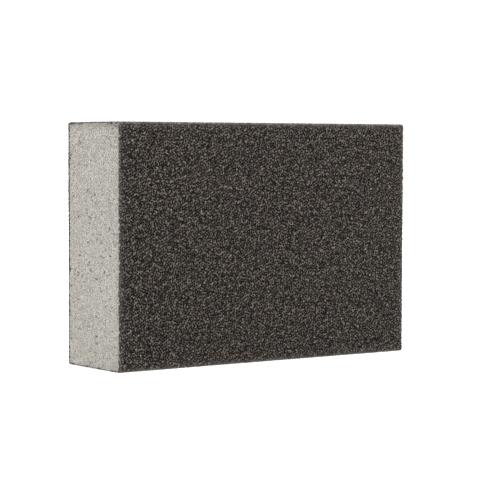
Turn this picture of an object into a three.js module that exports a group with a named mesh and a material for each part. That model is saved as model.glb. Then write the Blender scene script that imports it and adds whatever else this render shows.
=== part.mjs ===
// A four-sided sanding sponge: a block of fine-celled foam with abrasive on its two broad faces and its
// two long narrow edges, and bare foam at both cut ends. Millimetres, +Z up.
//
// The block stands on a long narrow edge. X runs along its length, Y through its thickness from the front
// broad face (-Y) to the back one (+Y), and Z from the bottom edge to the top edge. The origin is the
// centre of the bottom edge's surface. Every piece is one section in the YZ plane, drawn out along X.

import * as THREE from 'three';

// Outside size of the coated block
const LENGTH = 100;
const THICKNESS = 27;
const HEIGHT = 68;

// The coating: a resin film on the foam (the make coat), and on it a layer of abrasive grain
const BINDER_DEPTH = 0.25;
const GRIT_DEPTH = 0.375;

// The long corners are rounded about one centre line each, so every layer goes round on its own radius
const GRIT_RADIUS = 0.75;
const BINDER_RADIUS = GRIT_RADIUS - GRIT_DEPTH;
const FOAM_RADIUS = BINDER_RADIUS - BINDER_DEPTH;
const CORNER_STEPS = 6;

// Height of the corner centres at the bottom and the top, and their distance from the middle plane
const CORNER_LOW = GRIT_RADIUS;
const CORNER_HIGH = HEIGHT - GRIT_RADIUS;
const CORNER_OUT = THICKNESS / 2 - GRIT_RADIUS;

// Which way each coated surface faces
const FRONT = -1;
const BACK = 1;
const BOTTOM = -1;
const TOP = 1;

const foamMaterial = new THREE.MeshStandardMaterial({ color: 0xb7b3ab, roughness: 0.95, metalness: 0 });
const binderMaterial = new THREE.MeshStandardMaterial({ color: 0x3a332d, roughness: 0.55, metalness: 0 });
const gritMaterial = new THREE.MeshStandardMaterial({ color: 0x423d39, roughness: 0.8, metalness: 0 });

// A quarter circle round one long corner, from the broad face's side to the narrow edge's side
function cornerArc(side, end, radius) {
  const centreY = side * CORNER_OUT;
  const centreZ = end === TOP ? CORNER_HIGH : CORNER_LOW;
  const points = [];
  for (let step = 0; step <= CORNER_STEPS; step += 1) {
    const angle = (Math.PI / 2) * (step / CORNER_STEPS);
    const y = centreY + side * radius * Math.cos(angle);
    const z = centreZ + end * radius * Math.sin(angle);
    points.push(new THREE.Vector2(y, z));
  }
  return points;
}

// The way over one narrow edge at the given radius: up the front corner, across, and down the back one
function edgePath(end, radius) {
  const overFront = cornerArc(FRONT, end, radius);
  const overBack = cornerArc(BACK, end, radius).reverse();
  return [...overFront, ...overBack];
}

// The block's full outline at the given corner radius
function blockSection(radius) {
  return [...edgePath(BOTTOM, radius), ...edgePath(TOP, radius).reverse()];
}

// A layer on a broad face, between the corner centres' heights
function broadSection(side, innerRadius, outerRadius) {
  const innerY = side * (CORNER_OUT + innerRadius);
  const outerY = side * (CORNER_OUT + outerRadius);
  return [
    new THREE.Vector2(innerY, CORNER_LOW),
    new THREE.Vector2(outerY, CORNER_LOW),
    new THREE.Vector2(outerY, CORNER_HIGH),
    new THREE.Vector2(innerY, CORNER_HIGH),
  ];
}

// A layer on a narrow edge: it wraps both rounded corners and butts against the broad faces' layers
function edgeSection(end, innerRadius, outerRadius) {
  return [...edgePath(end, outerRadius), ...edgePath(end, innerRadius).reverse()];
}

// Sections are drawn as (y, z), so drawing out along the shape's own third axis is along X
const sectionToBlock = new THREE.Matrix4().makeBasis(
  new THREE.Vector3(0, 1, 0),
  new THREE.Vector3(0, 0, 1),
  new THREE.Vector3(1, 0, 0),
);

function drawnOut(name, section, material) {
  const shape = new THREE.Shape(section);
  const geometry = new THREE.ExtrudeGeometry(shape, { depth: LENGTH, steps: 1, bevelEnabled: false });
  geometry.translate(0, 0, -LENGTH / 2);
  geometry.applyMatrix4(sectionToBlock);
  const mesh = new THREE.Mesh(geometry, material);
  mesh.name = name;
  return mesh;
}

// The make coat and the abrasive coat of one surface, from the two sections that a builder gives
function coats(surface, direction, section) {
  const binder = section(direction, FOAM_RADIUS, BINDER_RADIUS);
  const grit = section(direction, BINDER_RADIUS, GRIT_RADIUS);
  return [
    drawnOut(`${surface}_make_coat`, binder, binderMaterial),
    drawnOut(`${surface}_abrasive_coat`, grit, gritMaterial),
  ];
}

const block = new THREE.Group();
block.add(drawnOut('foam_core', blockSection(FOAM_RADIUS), foamMaterial));
block.add(...coats('front', FRONT, broadSection));
block.add(...coats('back', BACK, broadSection));
block.add(...coats('bottom', BOTTOM, edgeSection));
block.add(...coats('top', TOP, edgeSection));

export default block;
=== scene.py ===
"""The looks of a four-sided foam sanding block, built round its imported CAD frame.

Every CAD solid is replaced by a detailed piece in the same place: a foam core whose cut ends are open
cells, a resin film on each coated side, and on each film a crust of small flat facets with pits in it.
Lengths are in metres, and MM is one millimetre.
"""

import math

import bpy
import numpy as np
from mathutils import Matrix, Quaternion, Vector


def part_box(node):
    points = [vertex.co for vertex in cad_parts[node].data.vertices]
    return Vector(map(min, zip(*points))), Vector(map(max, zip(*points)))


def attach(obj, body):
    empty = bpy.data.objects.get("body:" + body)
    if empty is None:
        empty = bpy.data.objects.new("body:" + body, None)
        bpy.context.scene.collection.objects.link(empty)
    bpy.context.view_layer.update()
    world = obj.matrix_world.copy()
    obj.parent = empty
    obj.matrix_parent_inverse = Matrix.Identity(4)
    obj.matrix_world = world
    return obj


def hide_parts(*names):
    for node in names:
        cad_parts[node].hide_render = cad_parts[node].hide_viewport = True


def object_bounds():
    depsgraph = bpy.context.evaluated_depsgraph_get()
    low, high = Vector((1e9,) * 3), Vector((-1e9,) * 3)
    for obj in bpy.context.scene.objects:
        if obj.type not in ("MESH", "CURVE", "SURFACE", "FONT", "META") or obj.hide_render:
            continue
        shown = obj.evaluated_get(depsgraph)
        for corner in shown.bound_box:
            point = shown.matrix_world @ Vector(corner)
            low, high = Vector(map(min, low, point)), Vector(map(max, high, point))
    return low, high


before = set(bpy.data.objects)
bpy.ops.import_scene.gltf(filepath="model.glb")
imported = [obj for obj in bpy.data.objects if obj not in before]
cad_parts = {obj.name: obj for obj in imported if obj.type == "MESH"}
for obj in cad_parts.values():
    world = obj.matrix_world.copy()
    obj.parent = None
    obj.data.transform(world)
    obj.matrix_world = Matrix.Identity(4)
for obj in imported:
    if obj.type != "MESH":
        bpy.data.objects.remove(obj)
CAD_BOX = [list(corner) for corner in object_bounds()]
MM = 0.001

# ---------------------------------------------------------------- sizes taken from the frame

CAD_LOW, CAD_HIGH = (np.array(corner) for corner in CAD_BOX)
END_X = float(CAD_HIGH[0])
LENGTH = 2 * END_X
HEIGHT = float(CAD_HIGH[2])
CORNER_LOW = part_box("front_abrasive_coat")[0].z
CORNER_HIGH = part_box("front_abrasive_coat")[1].z
GRIT_RADIUS = CORNER_LOW - float(CAD_LOW[2])
CORNER_OUT = float(CAD_HIGH[1]) - GRIT_RADIUS
FILM_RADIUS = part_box("back_make_coat")[1].y - CORNER_OUT
FOAM_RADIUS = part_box("foam_core")[1].y - CORNER_OUT

FRONT, BACK, BOTTOM, TOP = -1, 1, -1, 1

# ---------------------------------------------------------------- sizes of the surface detail

FACET_PITCH = 0.262 * MM      # one facet corner of the abrasive to the next
STRAY = 0.36                  # share of the pitch that a facet corner strays from its place
PIT_PITCH = 0.75 * MM         # one pit between the grains to the next
PIT_RADIUS = 0.62 * PIT_PITCH
GRAIN_RELIEF = 0.34 * MM      # deepest pit between the grains, below the highest grain
PIT_SHARE = 0.9               # share of that relief in an ordinary pit
ROUGH_SHARE = 0.3             # share of it in the unevenness from one facet corner to the next
CHIPPED_GRAIN = 0.24 * MM     # how far grains have broken away from the cut ends

FILM_PITCH = 0.5 * MM         # one point of the resin film to the next
FILM_RELIEF = 0.08 * MM       # how uneven the film is
CHIPPED_FILM = 0.1 * MM       # how far it has broken away from the cut ends

RIM_DUST_AND_HIGHLIGHT = 0.15               # share of pale colour on the block's outer edges: dust on the cut ends, painted highlight on the rounded long corners
RIM_REACH = 0.6 * MM          # how far that pale colour spreads from them
TOP_RIM_HIGHLIGHT = 0.45           # and painted highlight on the front face's top edge, where its rounded corner faces the light, fitted to the photograph
TOP_HIGHLIGHT_REACH = 0.22 * MM
DUST_AND_HIGHLIGHT_SPREAD = (0.2, 1.8)      # least and most dust and painted highlight on one point, as a share of what is usual there
DUST_CONTRAST = 3             # how sharply the dust on a cut edge starts and stops
CLEAN_CORNER = 1.5 * MM       # how far from the back's long corners the cut ends are free of foam dust

FOAM_PITCH = 0.193 * MM       # spacing of the points on the foam's cut ends
FOAM_STRAY = 0.25             # share of it that a point strays from its place
CELL_PITCH = 0.66 * MM        # one foam cell to the next, up the cut end
CELL_STRETCH = 1.5            # how much wider than high the cells are on the cut ends
CELL_DEPTH = 0.31 * MM        # an ordinary cut cell
CELL_SLOPE = 0.75 * CELL_PITCH    # a cell is fully deep where the next cell's middle is this much further
PORE_DEPTH = 0.75 * MM        # one of the few large open pores
PORE_SHARE = 0.018
SHALLOW_EDGE = 0.6 * MM       # how near to the top and bottom edges the cells become shallow
LEAST_DEPTH = 0.15            # share of the depth that is left at those edges
EDGE_DARK_REACH = 0.8 * MM         # how far the foam is painted darker from its top and front edges
TOP_SHADE, FRONT_DARKENING = 0.8, 0.3   # how dark it is there: painted shade below the top coat, and darker behind the front
TOP_SHADE_SPOTS = 11               # places across the top where that painted shade differs
SIDE_COLLAR = 0.6 * MM        # how much deeper than a pore the foam's hidden plain sides start

# The scattered points that the pits and the cells are made round
GRID_SLANT = math.radians(27)
SEED_STRAY = 0.42             # share of the pitch that a point strays from its place in the grid
SEED_ROOM = 0.95              # share of the pitch that points are pushed apart to
PUSH_ROUNDS = 3
PUSH_SHARE = 0.3              # share of the missing room that each round gives a point

rng = np.random.default_rng(20)


# ---------------------------------------------------------------- mesh tools

def mesh_piece(name, points, faces, attributes=None, flat_shading=True):
    """A new mesh object. attributes holds one value for each point, by name."""
    mesh = bpy.data.meshes.new(name)
    mesh.from_pydata(points.tolist(), [], faces)
    for key, values in (attributes or {}).items():
        layer = mesh.attributes.new(key, "FLOAT", "POINT")
        layer.data.foreach_set("value", values.astype(np.float32).ravel())
    mesh.polygons.foreach_set("use_smooth", [not flat_shading] * len(mesh.polygons))
    mesh.update()
    piece = bpy.data.objects.new(name, mesh)
    bpy.context.scene.collection.objects.link(piece)
    return piece


def grid_triangles(rows, columns, first=0):
    """Two triangles for each cell of a grid of points, with the diagonal either way at random."""
    index = first + np.arange((rows + 1) * (columns + 1)).reshape(rows + 1, columns + 1)
    a, b = index[:-1, :-1].ravel(), index[:-1, 1:].ravel()
    d, c = index[1:, :-1].ravel(), index[1:, 1:].ravel()
    rising = rng.random(len(a)) < 0.5
    one = np.where(rising[:, None], np.stack([a, b, c], 1), np.stack([a, b, d], 1))
    two = np.where(rising[:, None], np.stack([a, c, d], 1), np.stack([b, c, d], 1))
    return np.concatenate([one, two])


def facing_out(faces, inside_out):
    """The faces, turned over if they would point into the piece."""
    return [face[::-1] for face in faces] if inside_out else faces


# ---------------------------------------------------------------- where a layer runs

# A path is: at(s), which gives the corner line's point and the outward normal, as (y, z), at the distance s
# along it; its length; and where on it the middles of the block's two long corners are.

QUARTER = GRIT_RADIUS * math.pi / 2


def broad_path(side):
    """The way up one broad face, from one corner line to the other."""
    def at(s):
        base = np.stack([np.full_like(s, side * CORNER_OUT), CORNER_LOW + s], -1)
        normal = np.stack([np.full_like(s, float(side)), np.zeros_like(s)], -1)
        return base, normal
    length = CORNER_HIGH - CORNER_LOW
    return at, length, (-QUARTER / 2, length + QUARTER / 2)


def edge_path(end):
    """The way over one narrow edge, round both of its rounded corners."""
    across = 2 * CORNER_OUT
    corner_z = CORNER_HIGH if end == TOP else CORNER_LOW

    def at(s):
        front = np.clip(s / QUARTER, 0, 1) * math.pi / 2
        back = np.clip((s - QUARTER - across) / QUARTER, 0, 1) * math.pi / 2
        y = np.clip(s - QUARTER, 0, across) - CORNER_OUT
        base = np.stack([y, np.full_like(s, corner_z)], -1)
        normal = np.stack([np.sin(back) - np.cos(front), end * np.sin(front) * np.cos(back)], -1)
        return base, normal
    length = across + 2 * QUARTER
    return at, length, (QUARTER / 2, length - QUARTER / 2)


NEIGHBOURS = [(i, j) for i in range(-2, 3) for j in range(-2, 3) if (i, j) != (0, 0)]


def pushed_apart(seeds, room):
    """A grid of scattered points, moved until few are nearer to each other than room."""
    for _ in range(PUSH_ROUNDS):
        push = np.zeros_like(seeds)
        for i, j in NEIGHBOURS:
            away = seeds - np.roll(seeds, (i, j), (0, 1))
            gap = np.linalg.norm(away, axis=-1, keepdims=True)
            push += away / np.maximum(gap, 1e-9) * np.clip(room - gap, 0, None) * PUSH_SHARE
        seeds = seeds + push
    return seeds


def scattered(a, b, pitch):
    """Points scattered from a slanting grid with staggered rows. For each place (a, b): the distance to the
    nearest point, the distance to the next one, and the nearest one's random number."""
    along, aside = math.cos(GRID_SLANT), math.sin(GRID_SLANT)
    a, b = a * along + b * aside, b * along - a * aside
    low = np.array([a.min(), b.min()]) - 3 * pitch
    high = np.array([a.max(), b.max()]) + 3 * pitch
    count = np.ceil((high - low) / pitch).astype(int)
    home = np.stack(np.meshgrid(np.arange(count[0]), np.arange(count[1]), indexing="ij"), -1)
    home = home + rng.uniform(-SEED_STRAY, SEED_STRAY, home.shape)
    home[..., 0] += np.arange(count[1]) % 2 / 2
    seeds = pushed_apart(low + (home + 0.25) * pitch, SEED_ROOM * pitch)
    number = rng.random(count)
    places = np.stack([a, b], -1)
    square = np.floor((places - low) / pitch).astype(int)
    nearest = np.full(a.shape, 1e9)
    second = np.full(a.shape, 1e9)
    own = np.zeros(a.shape)
    for i, j in [(0, 0), *NEIGHBOURS]:
        row = np.clip(square[..., 0] + i, 0, count[0] - 1)
        column = np.clip(square[..., 1] + j, 0, count[1] - 1)
        away = np.linalg.norm(places - seeds[row, column], axis=-1)
        closer = away < nearest
        second = np.where(closer, nearest, np.minimum(second, away))
        own = np.where(closer, number[row, column], own)
        nearest = np.where(closer, away, nearest)
    return nearest, second, own


def grain_relief(u, s):
    """How far each facet corner lies below the highest grain, and how far into a pit it is, from 0 to 1."""
    nearest, _, own = scattered(u, s, PIT_PITCH)
    pit = np.clip(1 - nearest / PIT_RADIUS, 0, 1) * (0.9 + 0.2 * own)
    rough = rng.random(u.shape)
    return np.clip(ROUGH_SHARE * rough + PIT_SHARE * pit, 0, 1), pit


def film_relief(u, s):
    """The same for the resin film, which is uneven but has no pits."""
    return rng.random(u.shape), np.zeros(u.shape)


def worn(places, share):
    """How much foam dust covers each place, (y, z), along a cut edge, from 0 to 1: 1 over about that share
    of it. The back's two long corners keep clean."""
    loose = np.convolve(rng.random(len(places) + 2), [0.3, 1, 0.3], "valid")
    dust_and_highlight = np.clip((loose - np.quantile(loose, 1 - share)) * DUST_CONTRAST + 0.5, 0, 1)
    middle = (CORNER_LOW + CORNER_HIGH) / 2
    from_corner = np.abs(places - [CORNER_OUT, middle]) - [0, CORNER_HIGH - middle]
    return dust_and_highlight * np.clip(np.abs(from_corner).max(1) / CLEAN_CORNER - 0.5, 0, 1)


def layer_piece(name, path, inner, outer, pitch, relief, relief_of, chipped, dust, rims, winding):
    """A closed layer from the inner radius to a rough outer surface, which lies up to relief below outer.
    chipped is how far its ends are broken away, dust the share of them that foam dust covers, and rims the
    shares of painted highlight at its path's two corners. A path that runs the other way round has winding
    -1."""
    at, width, corners = path
    columns, rows = round(LENGTH / pitch), round(width / pitch)
    u, s = np.meshgrid(np.linspace(-END_X, END_X, columns + 1), np.linspace(0, width, rows + 1))
    u[:, 1:-1] += rng.uniform(-STRAY, STRAY, u[:, 1:-1].shape) * pitch
    s[1:-1] += rng.uniform(-STRAY, STRAY, s[1:-1].shape) * pitch
    u[:, 0] += rng.random(rows + 1) ** 2 * chipped
    u[:, -1] -= rng.random(rows + 1) ** 2 * chipped
    fall, hollow = relief_of(u, s)
    gap = np.minimum(END_X - np.abs(u), np.minimum(np.abs(s - corners[0]), np.abs(s - corners[1])))
    # Pale colour near the outer edges: dust on the cut ends, painted highlight on the rounded long corners
    dust_and_highlight = RIM_DUST_AND_HIGHLIGHT * np.exp(-gap / RIM_REACH)
    # Painted highlight along the front face's top edge, where the rounded corner faces the light
    for corner, rim in zip(corners, rims):
        dust_and_highlight = np.maximum(dust_and_highlight, rim * np.exp(-np.abs(s - corner) / TOP_HIGHLIGHT_REACH))
    dust_and_highlight *= rng.uniform(*DUST_AND_HIGHLIGHT_SPREAD, dust_and_highlight.shape)
    base, normal = at(s)
    yz = base + normal * (outer - relief * fall)[..., None]
    top = np.concatenate([u[..., None], yz], -1).reshape(-1, 3)

    base, normal = at(np.linspace(0, width, rows + 1))
    yz = base + normal * inner
    left_dust, right_dust = worn(yz, dust), worn(yz, dust)
    dust_and_highlight[:, 0] = np.maximum(dust_and_highlight[:, 0], left_dust)
    dust_and_highlight[:, -1] = np.maximum(dust_and_highlight[:, -1], right_dust)
    left = np.column_stack([np.full(rows + 1, -END_X), yz])
    right = np.column_stack([np.full(rows + 1, END_X), yz])
    points = np.concatenate([top, left, right])
    # Random pit values on the cut ends' inner points, so that the grain's painted pit shade dots them
    hollows = np.concatenate([hollow.ravel(), rng.uniform(0.1, 1, 2 * (rows + 1))])
    dust_and_highlight_values = np.concatenate([dust_and_highlight.ravel(), left_dust, right_dust])

    wide = columns + 1
    outer_at = np.arange(wide * (rows + 1)).reshape(rows + 1, wide)
    left_at = outer_at.size + np.arange(rows + 1)
    right_at = left_at + rows + 1
    faces = grid_triangles(rows, columns).tolist()
    for i in range(rows):
        j = i + 1
        faces.append([int(k) for k in (left_at[i], left_at[j], right_at[j], right_at[i])])
        faces.append([int(k) for k in (outer_at[i, 0], outer_at[j, 0], left_at[j], left_at[i])])
        faces.append([int(k) for k in (outer_at[j, -1], outer_at[i, -1], right_at[i], right_at[j])])
    faces.append([int(k) for k in (left_at[0], right_at[0], *outer_at[0, ::-1])])
    faces.append([int(k) for k in (*outer_at[-1], right_at[-1], left_at[-1])])
    faces = facing_out(faces, winding < 0)
    # The dust attribute holds foam dust and the painted highlight on the corners
    return mesh_piece(name, points, faces, {"hollow": hollows, "dust": dust_and_highlight_values})


# ---------------------------------------------------------------- the foam's cut ends

def cell_field(y, z):
    """Depth of the cut cells below the end face, and how far into an open cell each point is."""
    nearest, second, own = scattered(y / CELL_STRETCH, z, CELL_PITCH)
    pore = own > 1 - PORE_SHARE
    depth = np.where(pore, PORE_DEPTH, CELL_DEPTH * (0.8 + 0.2 * own))
    open_share = np.clip((second - nearest) / CELL_SLOPE, 0, 1)
    return depth * np.sqrt(open_share), depth * open_share / CELL_DEPTH


def rounded(y, z):
    """Moves the points of a rectangular grid on to the foam's section, whose corners are rounded."""
    middle = (CORNER_LOW + CORNER_HIGH) / 2
    over_y = np.maximum(np.abs(y) - CORNER_OUT, 0)
    over_z = np.maximum(np.abs(z - middle) - (CORNER_HIGH - middle), 0)
    reach = np.hypot(over_y, over_z)
    shrink = np.where(reach > 0, np.maximum(over_y, over_z) / np.maximum(reach, 1e-12), 1)
    y = np.where(over_y > 0, np.sign(y) * (CORNER_OUT + over_y * shrink), y)
    z = np.where(over_z > 0, middle + np.sign(z - middle) * (CORNER_HIGH - middle + over_z * shrink), z)
    return y, z


def foam_end(side):
    """The points of one cut end, as a grid of (x, y, z), and how dark each is painted: shade in the cut
    cells and below the top coat, and darker towards the front edge.
    """
    half_y = CORNER_OUT + FOAM_RADIUS
    z_low, z_high = CORNER_LOW - FOAM_RADIUS, CORNER_HIGH + FOAM_RADIUS
    columns, rows = round(2 * half_y / FOAM_PITCH), round((z_high - z_low) / FOAM_PITCH)
    y, z = np.meshgrid(np.linspace(-half_y, half_y, columns + 1), np.linspace(z_low, z_high, rows + 1))
    y[:, 1:-1] += rng.uniform(-FOAM_STRAY, FOAM_STRAY, y[:, 1:-1].shape) * FOAM_PITCH
    z[1:-1] += rng.uniform(-FOAM_STRAY, FOAM_STRAY, z[1:-1].shape) * FOAM_PITCH
    y, z = rounded(y, z)
    depth, hollow = cell_field(y, z)
    depth *= np.clip(np.minimum(z - z_low, z_high - z) / SHALLOW_EDGE, LEAST_DEPTH, 1)
    x = side * (END_X - depth)
    # Painted shade in a band below the top coat, uneven across the top, and darker towards the front edge
    spots = np.linspace(-half_y, half_y, TOP_SHADE_SPOTS)
    blotch = np.interp(y[0], spots, rng.uniform(0.5, 1.5, TOP_SHADE_SPOTS))
    top_shade = TOP_SHADE * blotch * np.exp((z - z_high) / EDGE_DARK_REACH)
    edge_darkness = top_shade + FRONT_DARKENING * np.exp((-half_y - y) / EDGE_DARK_REACH)
    return np.stack([x, y, z], -1), hollow + edge_darkness


def rim_indices(rows, columns):
    """Indices of a grid's border points, once round."""
    index = np.arange((rows + 1) * (columns + 1)).reshape(rows + 1, columns + 1)
    return np.concatenate([index[0, :-1], index[:-1, -1], index[-1, :0:-1], index[:0:-1, 0]])


def foam_piece():
    """The foam core: two ends of open cells, joined by plain sides that the coating hides."""
    left, left_hollow = foam_end(-1)
    right, right_hollow = foam_end(1)
    rows, columns = left.shape[0] - 1, left.shape[1] - 1
    size = left_hollow.size
    rim = rim_indices(rows, columns)
    collars = []
    for grid, side in ((left, -1), (right, 1)):
        ring = grid.reshape(-1, 3)[rim].copy()
        ring[:, 0] = side * (END_X - PORE_DEPTH - SIDE_COLLAR)
        collars.append(ring)
    points = np.concatenate([left.reshape(-1, 3), right.reshape(-1, 3), *collars])
    hollow = np.concatenate([left_hollow.ravel(), right_hollow.ravel(), np.ones(2 * len(rim))])
    faces = [face[::-1] for face in grid_triangles(rows, columns).tolist()]
    faces += grid_triangles(rows, columns, size).tolist()
    loops = [rim, 2 * size + np.arange(len(rim)), 2 * size + len(rim) + np.arange(len(rim)), rim + size]
    for near, far in zip(loops[:-1], loops[1:]):
        for i in range(len(rim)):
            j = (i + 1) % len(rim)
            faces.append([int(near[i]), int(near[j]), int(far[j]), int(far[i])])
    return mesh_piece("foam_core_cut_foam", points, faces, {"hollow": hollow}, flat_shading=False)


# ---------------------------------------------------------------- materials

def new_material(name):
    """A material with only its Principled shader and output. Returns the material, its tree and shader."""
    material = bpy.data.materials.new(name)
    material.use_nodes = True
    tree = material.node_tree
    return material, tree, tree.nodes["Principled BSDF"]


def add(tree, kind, settings=None, **inputs):
    """A node of that kind. An input is a number, a colour, or another node's output socket."""
    node = tree.nodes.new(kind)
    for key, value in (settings or {}).items():
        setattr(node, key, value)
    for key, value in inputs.items():
        socket = node.inputs[int(key[1:])] if key[0] == "i" and key[1:].isdigit() else node.inputs[key]
        if isinstance(value, bpy.types.NodeSocket):
            tree.links.new(value, socket)
        else:
            socket.default_value = value
    return node


def math_node(tree, operation, first, second, third=0.0, clamp=False):
    settings = {"operation": operation, "use_clamp": clamp}
    return add(tree, "ShaderNodeMath", settings, i0=first, i1=second, i2=third).outputs[0]


def ramp(tree, value, stops):
    """A colour ramp. stops are (position, (r, g, b))."""
    node = add(tree, "ShaderNodeValToRGB", None, i0=value)
    elements = node.color_ramp.elements
    while len(elements) < len(stops):
        elements.new(0.5)
    for element, (position, colour) in zip(elements, stops):
        element.position = position
        element.color = (*colour, 1)
    return node.outputs[0]


def object_coordinates(tree):
    return add(tree, "ShaderNodeTexCoord").outputs["Object"]


def noise(tree, where, size, detail=2.0):
    """Soft noise whose features are about size metres across, from 0 to 1."""
    return add(tree, "ShaderNodeTexNoise", None, Vector=where, Scale=1 / size, Detail=detail).outputs[0]


def cells(tree, where, size, randomness=1.0):
    return add(tree, "ShaderNodeTexVoronoi", None, Vector=where, Scale=1 / size, Randomness=randomness)


def mix_colour(tree, amount, first, second, blend="MIX"):
    node = tree.nodes.new("ShaderNodeMix")
    node.data_type = "RGBA"
    node.blend_type = blend
    for socket, value in ((node.inputs[0], amount), (node.inputs[6], first), (node.inputs[7], second)):
        if isinstance(value, bpy.types.NodeSocket):
            tree.links.new(value, socket)
        elif isinstance(value, tuple):
            socket.default_value = (*value, 1)
        else:
            socket.default_value = value
    return node.outputs[2]


def scale_colour(tree, colour, factor):
    """The colour times a number that varies."""
    node = add(tree, "ShaderNodeVectorMath", {"operation": "SCALE"}, i0=colour, Scale=factor)
    return node.outputs[0]


def tinted(tree, where, colour, size, amount):
    """The colour with its hue drifting a little over about size metres."""
    hue = add(tree, "ShaderNodeTexNoise", None, Vector=where, Scale=1 / size, Detail=1.0).outputs["Color"]
    spread, least = (amount,) * 3, (1 - amount / 2,) * 3
    drift = add(tree, "ShaderNodeVectorMath", {"operation": "MULTIPLY_ADD"}, i0=hue, i1=spread, i2=least)
    return mix_colour(tree, 1.0, colour, drift.outputs[0], "MULTIPLY")


def attribute(tree, name):
    return add(tree, "ShaderNodeAttribute", {"attribute_name": name}).outputs["Fac"]


def bump(tree, height, distance):
    return add(tree, "ShaderNodeBump", None, Strength=1.0, Distance=distance, Height=height).outputs[0]


# Pale foam dust, also used for the painted highlight on the block's corners
DUST_AND_HIGHLIGHT_COLOUR = (0.39, 0.37, 0.335)
# Painted shade in the pits between the grains
PIT_SHADE_COLOUR = (0.003, 0.0025, 0.002)
# Painted shade inside the foam's cut cells and below the top coat
CELL_SHADE_COLOUR = (0.130, 0.122, 0.100)
# Painted shade of the foam's open pores
PORE_SHADE_COLOUR = (0.100, 0.092, 0.076)
# Grain tone that differs at random; the palest stop paints glints on a few grain tips
GRAIN_TONES_AND_GLINTS = [
    (0.25, (0.0085, 0.0071, 0.0061)),
    (0.50, (0.036, 0.0303, 0.0259)),
    (0.75, (0.094, 0.0791, 0.0677)),
    (0.95, (0.265, 0.223, 0.191)),
]
FILM_TONES = [
    (0.30, (0.018, 0.015, 0.012)),
    (0.55, (0.045, 0.038, 0.031)),
    (0.75, (0.120, 0.108, 0.092)),
]
FOAM_TONES = [(0.30, (0.405, 0.388, 0.354)), (0.70, (0.432, 0.410, 0.378))]
CHIP_SIZE = 0.32 * MM         # one grain's tone to the next, in the abrasive's material
SPECK_SIZE = 0.3 * MM         # one pale or dark speck to the next, in the foam's
HUE_SIZE = 1.6 * MM           # patches of slightly different hue


def grit_material():
    """A crust of dark grey-brown grain with small deep pits in it, painted near-black as shade, and a few
    pale grain tips painted as glints.
    """
    material, tree, shader = new_material("abrasive_grain")
    where = object_coordinates(tree)
    chips = cells(tree, where, CHIP_SIZE, 0.8)
    pick = add(tree, "ShaderNodeSeparateColor", None, i0=chips.outputs["Color"]).outputs
    facet = math_node(tree, "MULTIPLY_ADD", pick[0], 0.4, 0.1)
    level = math_node(tree, "MULTIPLY_ADD", chips.outputs["Distance"], 0.6, facet)
    # Tone that differs from grain to grain, with painted glints on the palest grains
    tone = tinted(tree, where, ramp(tree, level, GRAIN_TONES_AND_GLINTS), HUE_SIZE, 0.26)
    # Painted shade: the pits between the grains, and random points on the cut ends, are made near-black
    pit = ramp(tree, attribute(tree, "hollow"), [(0.3, (0, 0, 0)), (0.45, (1, 1, 1))])
    with_pit_shade = mix_colour(tree, math_node(tree, "MULTIPLY", pit, 0.98), tone, PIT_SHADE_COLOUR)
    # The dust attribute adds foam dust and the painted highlight on the corners
    with_dust_and_highlight = mix_colour(tree, attribute(tree, "dust"), with_pit_shade, DUST_AND_HIGHLIGHT_COLOUR)
    tree.links.new(with_dust_and_highlight, shader.inputs["Base Color"])
    shader.inputs["Specular IOR Level"].default_value = 0.06
    rough = math_node(tree, "MULTIPLY_ADD", pick[1], 0.4, 0.42)
    tree.links.new(rough, shader.inputs["Roughness"])
    tree.links.new(bump(tree, chips.outputs["Distance"], 0.12 * MM), shader.inputs["Normal"])
    return material


def film_material():
    """Dark resin that has run unevenly, with grain dust in it."""
    material, tree, shader = new_material("make_coat_resin")
    where = object_coordinates(tree)
    tone = ramp(tree, noise(tree, where, 0.6 * MM, 4.0), FILM_TONES)
    # The dust attribute adds foam dust and the painted highlight on the corners
    with_dust_and_highlight = mix_colour(tree, attribute(tree, "dust"), tone, DUST_AND_HIGHLIGHT_COLOUR)
    tree.links.new(with_dust_and_highlight, shader.inputs["Base Color"])
    rough = math_node(tree, "MULTIPLY_ADD", noise(tree, where, 0.4 * MM), 0.4, 0.3)
    tree.links.new(rough, shader.inputs["Roughness"])
    tree.links.new(bump(tree, noise(tree, where, 0.2 * MM, 3.0), 0.05 * MM), shader.inputs["Normal"])
    return material


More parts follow.
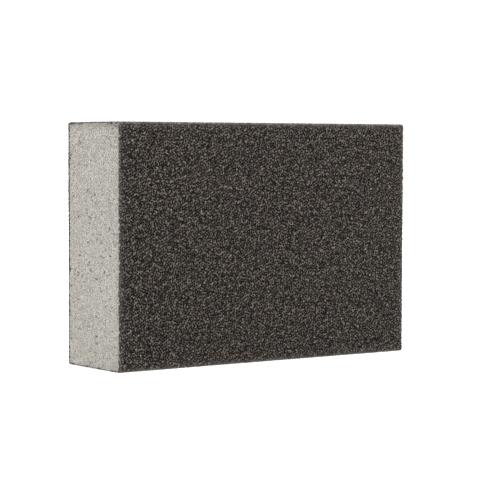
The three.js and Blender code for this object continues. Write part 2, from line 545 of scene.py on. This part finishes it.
def foam_material():
    """Light warm grey foam: pale cell walls, with painted shade inside the cut cells, in the pores and
    below the top coat, and darker towards the front edge.
    """
    material, tree, shader = new_material("cut_foam")
    where = object_coordinates(tree)
    pale = ramp(tree, noise(tree, where, 3.5 * MM, 3.0), FOAM_TONES)
    narrowing = (1, 1 / CELL_STRETCH, 1)
    stretched = add(tree, "ShaderNodeVectorMath", {"operation": "MULTIPLY"}, i0=where, i1=narrowing)
    fine = cells(tree, stretched.outputs[0], SPECK_SIZE, 0.8)
    lot = add(tree, "ShaderNodeSeparateColor", None, i0=fine.outputs["Color"]).outputs[0]
    speck = math_node(tree, "MULTIPLY_ADD", lot, 0.7, 0.73)
    body = tinted(tree, where, scale_colour(tree, pale, speck), HUE_SIZE, 0.1)
    # Painted shade of open pores: dark spots laid on the cut ends
    pores = cells(tree, where, 1.5 * MM).outputs["Distance"]
    pore = ramp(tree, pores, [(0.15, (1, 1, 1)), (0.2, (0, 0, 0))])
    body = mix_colour(tree, math_node(tree, "MULTIPLY", pore, 0.8), body, PORE_SHADE_COLOUR)
    # Painted shade inside the cut cells and below the top coat, and darker towards the front edge, from the
    # hollow attribute
    depth = math_node(tree, "MULTIPLY", attribute(tree, "hollow"), 0.6, clamp=True)
    tree.links.new(mix_colour(tree, depth, body, CELL_SHADE_COLOUR), shader.inputs["Base Color"])
    shader.inputs["Roughness"].default_value = 0.92
    shader.inputs["Specular IOR Level"].default_value = 0.1
    walls = noise(tree, where, 0.16 * MM, 3.0)
    tree.links.new(bump(tree, walls, 0.06 * MM), shader.inputs["Normal"])
    return material


# ---------------------------------------------------------------- the pieces

GRIT = grit_material()
FILM = film_material()
FOAM = foam_material()


def finish_piece(piece, material, slot, *nodes):
    piece.data.materials.append(material)
    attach(piece, "root")
    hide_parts(*nodes)
    return piece


foam = finish_piece(foam_piece(), FOAM, "foam", "foam_core")

# Each side's path and winding, the shares of its film's and its grain's cut ends under foam dust, and the
# painted highlight at its path's two corners
SIDES = {
    "front": (broad_path(FRONT), 1, 0.85, 0.12, (0, TOP_RIM_HIGHLIGHT)),
    "back": (broad_path(BACK), -1, 0.05, 0.15, (0, 0)),
    "bottom": (edge_path(BOTTOM), 1, 0.70, 0.10, (0, 0)),
    "top": (edge_path(TOP), -1, 0.55, 0.08, (TOP_RIM_HIGHLIGHT, 0)),
}
for side_name, (path, winding, film_dust, grain_dust, rims) in SIDES.items():
    film = layer_piece(
        side_name + "_make_coat_resin", path, FOAM_RADIUS, FILM_RADIUS + FILM_RELIEF / 2,
        FILM_PITCH, FILM_RELIEF, film_relief, CHIPPED_FILM, film_dust, rims, winding,
    )
    finish_piece(film, FILM, "make_coat", side_name + "_make_coat")
    grit = layer_piece(
        side_name + "_abrasive_grain", path, FILM_RADIUS, GRIT_RADIUS,
        FACET_PITCH, GRAIN_RELIEF, grain_relief, CHIPPED_GRAIN, grain_dust, rims, winding,
    )
    finish_piece(grit, GRIT, "abrasive", side_name + "_abrasive_coat")


# ---------------------------------------------------------------- floor, light and camera

FLOOR_REACH = 3.0
SEEN_WHITE, EVEN_LIGHT = 1.1, 0.45     # the world's strength, as seen and as it lights the block
SOFTBOXES = {                          # place, width and power in watts
    "key": ((-0.55, -0.75, 0.75), 0.6, 9),
    "fill": ((0.8, -0.7, 0.45), 0.6, 6),
    "back": ((0.3, 0.9, 0.7), 0.7, 8),
}


def stage_floor():
    size = FLOOR_REACH
    points = np.array([[-size, -size, 0], [size, -size, 0], [size, size, 0], [-size, size, 0]])
    floor = mesh_piece("studio_floor", points, [[0, 1, 2, 3]])
    material, _, shader = new_material("pale_floor")
    shader.inputs["Base Color"].default_value = (0.93, 0.93, 0.93, 1)
    shader.inputs["Roughness"].default_value = 0.9
    shader.inputs["Specular IOR Level"].default_value = 0.0
    shader.inputs["Emission Color"].default_value = (1, 1, 1, 1)
    shader.inputs["Emission Strength"].default_value = 0.6
    floor.data.materials.append(material)


def white_world():
    """White behind the object, and a weaker even light on it."""
    world = bpy.data.worlds.new("studio")
    world.use_nodes = True
    tree = world.node_tree
    background = tree.nodes["Background"]
    background.inputs["Color"].default_value = (1, 1, 1, 1)
    seen = add(tree, "ShaderNodeLightPath").outputs["Is Camera Ray"]
    strength = math_node(tree, "MULTIPLY_ADD", seen, SEEN_WHITE - EVEN_LIGHT, EVEN_LIGHT)
    tree.links.new(strength, background.inputs["Strength"])
    bpy.context.scene.world = world


def softbox(name, place, aim, size, power):
    """A square area light, turned to its aim."""
    light = bpy.data.lights.new(name, "AREA")
    light.shape = "SQUARE"
    light.size = size
    light.energy = power
    lamp = bpy.data.objects.new(name, light)
    lamp.location = place
    lamp.rotation_mode = "QUATERNION"
    lamp.rotation_quaternion = (Vector(aim) - Vector(place)).to_track_quat("-Z", "Y")
    bpy.context.scene.collection.objects.link(lamp)


CENTRE = Vector((0, 0, HEIGHT / 2))
stage_floor()
white_world()
for light_name, (place, size, power) in SOFTBOXES.items():
    softbox(light_name, place, CENTRE, size, power)

# The camera, from a fit to the photograph's six visible corners
AZIMUTH, ELEVATION, ROLL = math.radians(-35.64), math.radians(2.84), math.radians(0.11)
DISTANCE = 0.5493
ASIDE, ABOVE = -0.32 * MM, 0.17 * MM   # how far beside and above the block's centre it is aimed
LENS, SENSOR_WIDTH = 142.1, 36         # in millimetres


def make_camera():
    """The camera stands at DISTANCE in the direction given by its angles, and becomes the scene's."""
    flat = math.cos(ELEVATION)
    back = Vector((math.sin(AZIMUTH) * flat, -math.cos(AZIMUTH) * flat, math.sin(ELEVATION)))
    turn = back.to_track_quat("Z", "Y") @ Quaternion((0, 0, 1), ROLL)
    right, up = turn @ Vector((1, 0, 0)), turn @ Vector((0, 1, 0))
    data = bpy.data.cameras.new("camera")
    data.sensor_width = SENSOR_WIDTH
    data.lens = LENS
    data.clip_start, data.clip_end = 0.01, 20
    camera = bpy.data.objects.new("camera", data)
    camera.location = CENTRE + right * ASIDE + up * ABOVE + back * DISTANCE
    camera.rotation_mode = "QUATERNION"
    camera.rotation_quaternion = turn
    bpy.context.scene.collection.objects.link(camera)
    bpy.context.scene.camera = camera


make_camera()
bpy.context.scene.view_settings.view_transform = "Standard"
